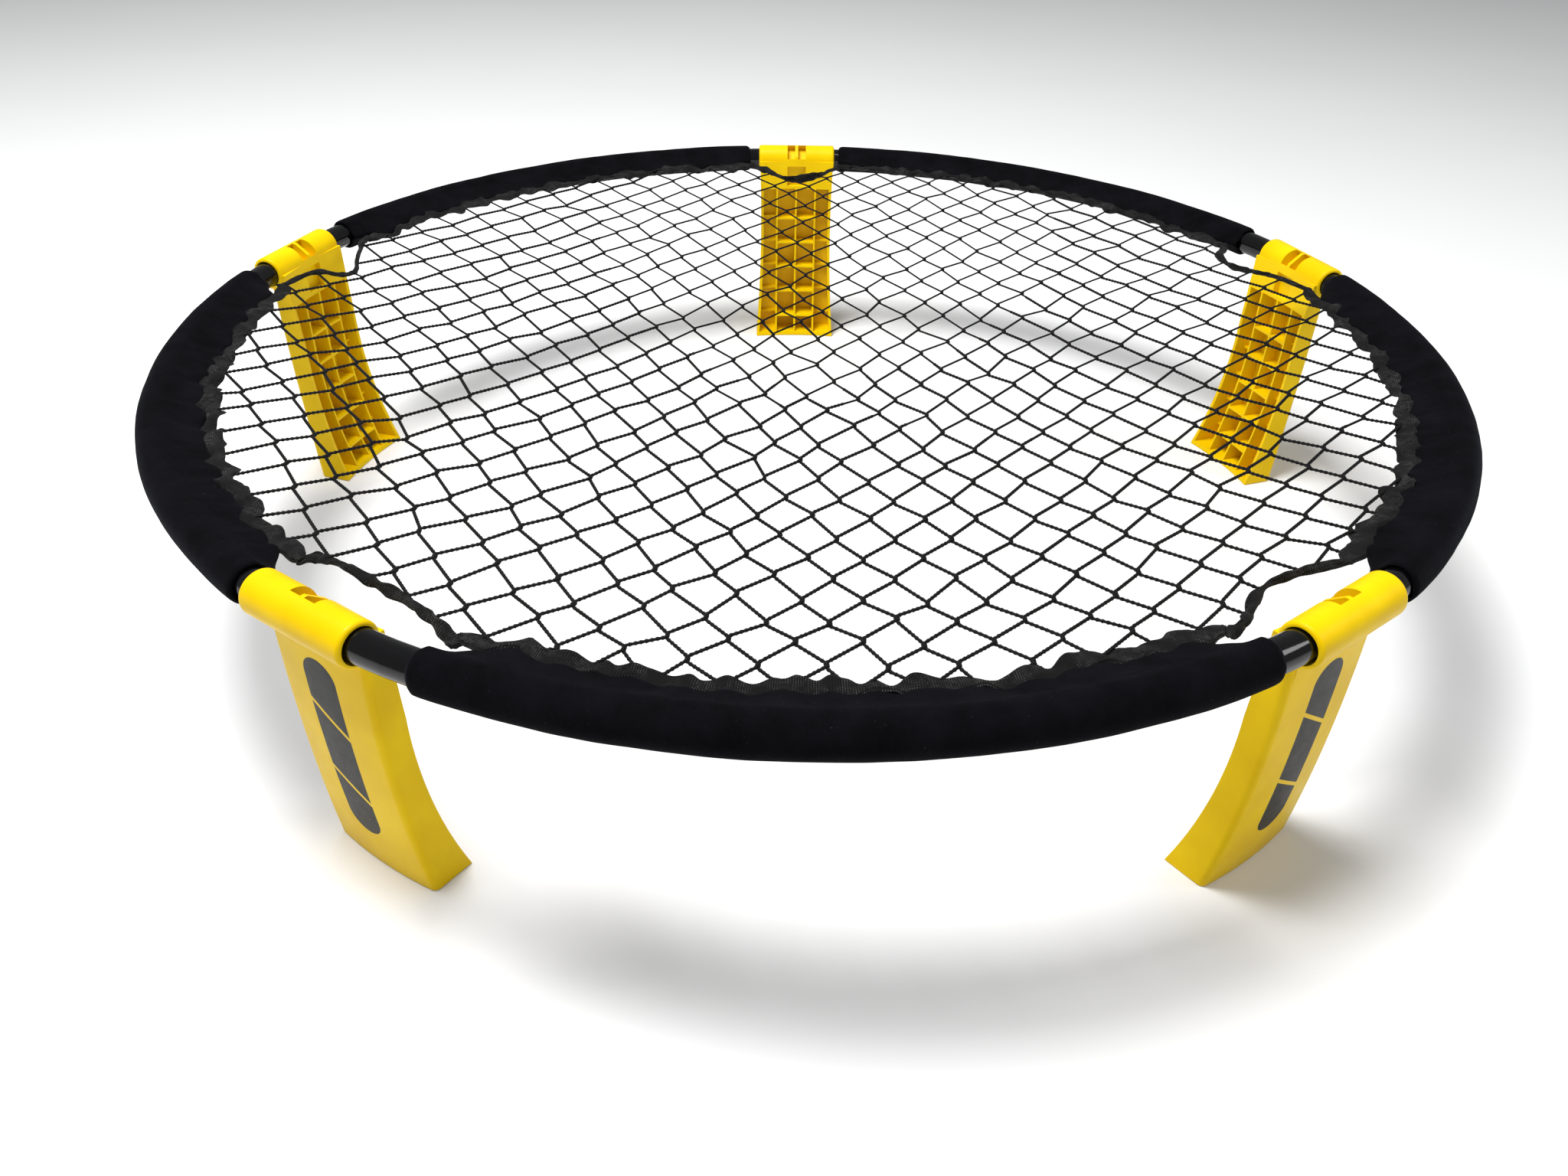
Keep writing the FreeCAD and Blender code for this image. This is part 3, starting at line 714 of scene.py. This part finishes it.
def make_knots(knots, jitter):
    """A copy of the knot at each crossing, drawn out along its meshes, no two quite alike."""
    lump = knot_shape()
    rng = random.Random(5)
    copies = []
    for key, place in sorted(knots.items()):
        lie = knot_lie(key, jitter)
        copy = lump.copy()
        copy.data = lump.data.copy()
        bpy.context.scene.collection.objects.link(copy)
        turn = Matrix.Rotation(math.atan2(lie.y, lie.x) + rng.gauss(0, 0.08), 4, "Z")
        size = Matrix.Diagonal((1 + rng.gauss(0, 0.08), 1 + rng.gauss(0, 0.07), 1, 1))
        copy.data.transform(Matrix.Translation(place) @ turn @ size)
        copies.append(copy)
    bpy.data.objects.remove(lump)
    only(*copies)
    bpy.ops.object.join()
    piece = bpy.context.object
    piece.name = "net_knots"
    smooth(piece)
    finish_piece(piece, TWINE)


def make_net():
    outline = binding_outline()
    knots, jitter = lay_out_knots(outline)
    rising = lines_of(knots, jitter, outline, (1, 0))
    falling = lines_of(knots, jitter, outline, (0, 1))
    main = make_twines("net_twines_rising", rising[::2], TWINE_LAYER)
    make_twines("net_twines_rising_odd", rising[1::2], TWINE_LAYER)
    make_twines("net_twines_falling", falling[::2], -TWINE_LAYER)
    make_twines("net_twines_falling_odd", falling[1::2], -TWINE_LAYER)
    make_knots(knots, jitter)
    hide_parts("net")


# ---------------------------------------------------------------- materials

YELLOW = (0.80, 0.52, 0.0008, 1)
YELLOW_PALE = (0.88, 0.60, 0.0016, 1)
YELLOW_SCUFFED = (0.60, 0.38, 0.012, 1)
INK = (0.028, 0.027, 0.026, 1)
ENAMEL = (0.002, 0.002, 0.0024, 1)
ENAMEL_DUST = (0.03, 0.03, 0.033, 1)
CLOTH_DARK = (0.0014, 0.0014, 0.0019, 1)
CLOTH_PALE = (0.0046, 0.0044, 0.0060, 1)
CLOTH_STITCH = (0.012, 0.012, 0.014, 1)
LINT = (0.09, 0.09, 0.10, 1)
BRAID_DARK = (0.0018, 0.0018, 0.0018, 1)
# paler grey painted into the braid's colour as a highlight on its ribs
BRAID_PAINTED_HIGHLIGHT = (0.11, 0.11, 0.107, 1)
TWINE_DARK = (0.0018, 0.0018, 0.0018, 1)
TWINE_PALE = (0.0045, 0.0045, 0.0045, 1)

STITCH_ROW = 0.85 * MM
STITCH_WALE = 0.70 * MM
BRAID_ROW = 1.3 * MM
BRAID_CORD = 1.4 * MM
BRAID_WARP = 0.8 * MM

# Print on a leg's outer face, heights from the floor
PRINT_MIDDLE = 94 * MM
PRINT_HALF_TALL = 52 * MM
PRINT_HALF_WIDE = 12.5 * MM
PRINT_EDGE = 0.4 * MM
PRINT_GAPS = (68 * MM, 118 * MM)
PRINT_GAP_HALF = 1.3 * MM
PRINT_SLANT = 0.7


class Nodes:
    """A short way to lay out the nodes of one material."""

    def __init__(self, name):
        self.material = bpy.data.materials.new(name)
        self.material.use_nodes = True
        self.tree = self.material.node_tree
        self.shader = self.tree.nodes["Principled BSDF"]

    def add(self, kind, **inputs):
        node = self.tree.nodes.new(kind)
        for key, value in inputs.items():
            self.set(node.inputs[key], value)
        return node

    def set(self, socket, value):
        if isinstance(value, bpy.types.NodeSocket):
            self.tree.links.new(value, socket)
        else:
            socket.default_value = value

    def math(self, operation, a, b=0.0):
        node = self.tree.nodes.new("ShaderNodeMath")
        node.operation = operation
        self.set(node.inputs[0], a)
        self.set(node.inputs[1], b)
        return node.outputs[0]

    def times(self, a, b):
        return self.math("MULTIPLY", a, b)

    def away(self, value, middle):
        """Distance of a value from its middle."""
        return self.math("ABSOLUTE", self.math("SUBTRACT", value, middle))

    def wave(self, value, length):
        return self.math("SINE", self.times(value, 2 * math.pi / length))

    def coordinates(self, kind):
        return self.tree.nodes.new("ShaderNodeTexCoord").outputs[kind]

    def flat(self):
        node = self.tree.nodes.new("ShaderNodeUVMap")
        node.uv_map = "flat"
        return self.split(node.outputs["UV"])

    def split(self, vector):
        return self.add("ShaderNodeSeparateXYZ", Vector=vector).outputs

    def faced(self, vector, leg):
        """A vector's parts as one leg has them: outwards, across and up."""
        turned = self.add("ShaderNodeMapping", Vector=vector, Rotation=(0, 0, -math.radians(leg)))
        return self.split(turned.outputs[0])

    def noise(self, vector, scale, detail=2.0, roughness=0.5):
        node = self.add("ShaderNodeTexNoise", Vector=vector, Scale=scale, Detail=detail, Roughness=roughness)
        return node.outputs["Fac"]

    def ramp(self, value, low, high, out_low=0.0, out_high=1.0):
        node = self.add("ShaderNodeMapRange")
        for key, entry in (("Value", value), ("From Min", low), ("From Max", high),
                           ("To Min", out_low), ("To Max", out_high)):
            self.set(node.inputs[key], entry)
        return node.outputs[0]

    def mix(self, share, first, second):
        node = self.tree.nodes.new("ShaderNodeMix")
        node.data_type = "RGBA"
        self.set(node.inputs[0], share)
        self.set(node.inputs[6], first)
        self.set(node.inputs[7], second)
        return node.outputs[2]

    def bump(self, height, distance, strength=1.0, under=None):
        node = self.add("ShaderNodeBump", Strength=strength, Distance=distance, Height=height)
        if under is not None:
            self.set(node.inputs["Normal"], under)
        return node.outputs[0]

    def finish(self, **inputs):
        for key, value in inputs.items():
            self.set(self.shader.inputs[key.replace("_", " ")], value)
        return self.material


def moulded_yellow(name, leg):
    """Satin yellow plastic with faint mottling and scuffs, and a plain print on its outer face."""
    m = Nodes(name)
    place = m.coordinates("Object")
    cloudy = m.noise(place, 28, 3)
    grain = m.noise(place, 900, 2)
    scuff = m.noise(place, 160, 6, 0.7)
    mottled = m.mix(m.ramp(cloudy, 0.35, 0.7), YELLOW, YELLOW_PALE)
    scuffed = m.mix(m.ramp(scuff, 0.66, 0.8, 0, 0.35), mottled, YELLOW_SCUFFED)
    inked = m.mix(plain_print(m, leg, place), scuffed, INK)
    relief = m.bump(grain, 0.06 * MM, 0.6)
    relief = m.bump(m.noise(place, 55, 2), 0.6 * MM, 0.35, relief)
    return m.finish(Base_Color=inked, Roughness=m.ramp(scuff, 0.3, 0.8, 0.30, 0.46), Normal=relief,
                    Specular_IOR_Level=0.09)


def plain_print(m, leg, place):
    """Ink on the outer face only: a tall rounded bar, split by two slanting gaps."""
    _, across, high = m.faced(place, leg)
    beyond = m.math("MAXIMUM", m.math("SUBTRACT", m.away(high, PRINT_MIDDLE), PRINT_HALF_TALL))
    distance = m.math("SQRT", m.math("ADD", m.times(across, across), m.times(beyond, beyond)))
    ink = m.ramp(distance, PRINT_HALF_WIDE, PRINT_HALF_WIDE + PRINT_EDGE, 1, 0)
    slant = m.math("ADD", high, m.times(across, PRINT_SLANT))
    for gap in PRINT_GAPS:
        ink = m.times(ink, m.ramp(m.away(slant, gap), PRINT_GAP_HALF, PRINT_GAP_HALF + PRINT_EDGE))
    outwards, _, _ = m.faced(m.coordinates("Normal"), leg)
    worn = m.ramp(m.noise(place, 420, 4, 0.6), 0.22, 0.30, 0.6, 1)
    return m.times(m.times(ink, m.ramp(outwards, 0.75, 0.85)), worn)


def gloss_black():
    """Enamelled steel tube: deep black and glossy, with faint smears and dust."""
    m = Nodes("gloss_black_enamel")
    place = m.coordinates("Object")
    dust = m.noise(place, 700, 5, 0.7)
    smear = m.noise(place, 35, 3)
    rough = m.math("ADD", m.ramp(smear, 0.3, 0.7, 0.05, 0.12), m.ramp(dust, 0.62, 0.8, 0, 0.12))
    colour = m.mix(m.ramp(dust, 0.66, 0.8, 0, 0.3), ENAMEL, ENAMEL_DUST)
    return m.finish(Base_Color=colour, Roughness=rough, Normal=m.bump(smear, 0.5 * MM, 0.15),
                    Specular_IOR_Level=0.4)


def sleeve_cloth():
    """Black stretch knit: fine rows of stitches, a soft sheen, worn paler patches and specks of lint."""
    m = Nodes("black_stretch_knit")
    along, around, _ = m.flat()
    place = m.coordinates("Object")
    rows = m.wave(along, STITCH_ROW)
    wales = m.wave(around, STITCH_WALE)
    knit = m.times(m.math("ADD", rows, m.times(wales, rows)), 0.5)
    fuzz = m.noise(place, 1500, 3, 0.6)
    patch = m.noise(place, 45, 4, 0.6)
    lint = m.noise(place, 800, 2, 0.4)
    colour = m.mix(m.ramp(patch, 0.3, 0.75), CLOTH_DARK, CLOTH_PALE)
    colour = m.mix(m.ramp(knit, 0.2, 1, 0, 0.25), colour, CLOTH_STITCH)
    colour = m.mix(m.ramp(lint, 0.745, 0.80, 0, 0.35), colour, LINT)
    relief = m.bump(knit, 0.12 * MM, 0.5)
    relief = m.bump(fuzz, 0.22 * MM, 0.6, relief)
    relief = m.bump(patch, 1.2 * MM, 0.35, relief)
    return m.finish(Base_Color=colour, Roughness=m.ramp(fuzz, 0.3, 0.7, 0.78, 0.95), Normal=relief,
                    Sheen_Weight=0.02, Sheen_Roughness=0.4, Sheen_Tint=(0.75, 0.8, 1.0, 1),
                    Specular_IOR_Level=0.03)


def braid():
    """Elastic braid: raised cross ribs with painted grey highlights in patches, gathered unevenly."""
    m = Nodes("black_elastic_braid")
    along, around, _ = m.flat()
    place = m.coordinates("Object")
    uneven = m.math("ADD", along, m.times(m.noise(place, 220, 2), BRAID_WARP))
    ribs = m.ramp(m.wave(uneven, BRAID_ROW), -1, 1)
    weave = m.times(ribs, m.ramp(m.wave(around, BRAID_CORD), -1, 1, 0.55, 1))
    # painted highlight: paler grey mixed into the braid's colour on the raised ribs, in noise patches,
    # standing in for glints of light
    painted_highlight_patches = m.times(m.ramp(m.noise(place, 70, 3), 0.42, 0.66), m.ramp(m.noise(place, 420, 2), 0.35, 0.6))
    painted_highlight = m.times(m.ramp(weave, 0.45, 0.95), painted_highlight_patches)
    relief = m.bump(weave, 0.6 * MM, 0.8)
    relief = m.bump(m.noise(place, 1300, 2), 0.2 * MM, 0.5, relief)
    return m.finish(Base_Color=m.mix(painted_highlight, BRAID_DARK, BRAID_PAINTED_HIGHLIGHT), Roughness=0.72, Normal=relief,
                    Sheen_Weight=0.02, Sheen_Roughness=0.5, Specular_IOR_Level=0.15)


def twisted_twine():
    """Black polyester twine: fine strands with a dull sheen."""
    m = Nodes("black_twine")
    place = m.coordinates("Object")
    strands = m.noise(place, 1900, 2, 0.5)
    tone = m.noise(place, 14, 2)
    colour = m.mix(m.ramp(tone, 0.35, 0.7), TWINE_DARK, TWINE_PALE)
    return m.finish(Base_Color=colour, Roughness=0.62, Normal=m.bump(strands, 0.3 * MM, 0.8),
                    Sheen_Weight=0.01, Sheen_Roughness=0.5, Specular_IOR_Level=0.15)


def studio_floor():
    """Pale matt floor, faintly uneven."""
    m = Nodes("pale_floor")
    speckle = m.noise(m.coordinates("Object"), 3, 2)
    colour = m.mix(speckle, (0.86, 0.86, 0.86, 1), (0.90, 0.90, 0.90, 1))
    return m.finish(Base_Color=colour, Roughness=0.7, Specular_IOR_Level=0.15)


SLEEVE = sleeve_cloth()
BRAID = braid()
TWINE = twisted_twine()
TUBE = gloss_black()


# ---------------------------------------------------------------- building

def dress_frame():
    for name, angle in LEGS.items():
        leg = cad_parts["leg_" + name]
        leg.data.materials.clear()
        leg.data.materials.append(moulded_yellow("moulded_yellow_" + name, angle))
    for name in TUBE_NAMES:
        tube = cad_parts["tube_" + name]
        tube.data.materials.clear()
        tube.data.materials.append(TUBE)


def make_stage():
    """Pale floor, soft even light all round, a key light overhead and a weak fill from the right."""
    bpy.ops.object.select_all(action="DESELECT")
    bpy.ops.mesh.primitive_plane_add(size=FLOOR_SIZE, location=(0, 0, -0.5 * MM))
    floor = bpy.context.object
    floor.name = "floor"
    floor.data.materials.append(studio_floor())
    bpy.context.scene.view_settings.view_transform = "Standard"
    world = bpy.data.worlds.new("studio")
    bpy.context.scene.world = world
    world.use_nodes = True
    background = world.node_tree.nodes["Background"]
    background.inputs["Color"].default_value = ROOM_COLOUR
    background.inputs["Strength"].default_value = ROOM_LIGHT
    for name, (place, size, power) in LAMPS.items():
        lamp = bpy.data.lights.new(name, "AREA")
        lamp.size = size
        lamp.energy = power
        holder = bpy.data.objects.new(name, lamp)
        holder.location = place
        aim = LAMP_AIM - Vector(place)
        holder.rotation_euler = aim.to_track_quat("-Z", "Y").to_euler()
        bpy.context.scene.collection.objects.link(holder)


def make_camera():
    data = bpy.data.cameras.new("camera")
    camera = bpy.data.objects.new("camera", data)
    bpy.context.scene.collection.objects.link(camera)
    level = math.cos(CAMERA_ELEVATION)
    ahead = Vector((-math.sin(CAMERA_AZIMUTH) * level, math.cos(CAMERA_AZIMUTH) * level,
                    -math.sin(CAMERA_ELEVATION)))
    right = ahead.cross(Vector((0, 0, 1))).normalized()
    above = right.cross(ahead)
    right, above = (right * math.cos(CAMERA_ROLL) + above * math.sin(CAMERA_ROLL),
                    above * math.cos(CAMERA_ROLL) - right * math.sin(CAMERA_ROLL))
    turn = Matrix((right, above, -ahead)).transposed().to_4x4()
    camera.matrix_world = Matrix.Translation(CAMERA_PLACE) @ turn
    data.sensor_width = SENSOR_WIDTH
    data.lens = LENS
    data.shift_x, data.shift_y = CAMERA_SHIFT
    data.clip_start = NEAR_CLIP
    bpy.context.scene.camera = camera


make_camera()
make_stage()
dress_frame()
make_net()
for tube_index, tube_name in enumerate(TUBE_NAMES):
    make_sleeve(tube_index, tube_name)
    make_binding(tube_index, tube_name)
for leg_name in LEG_NAMES:
    make_span(leg_name)
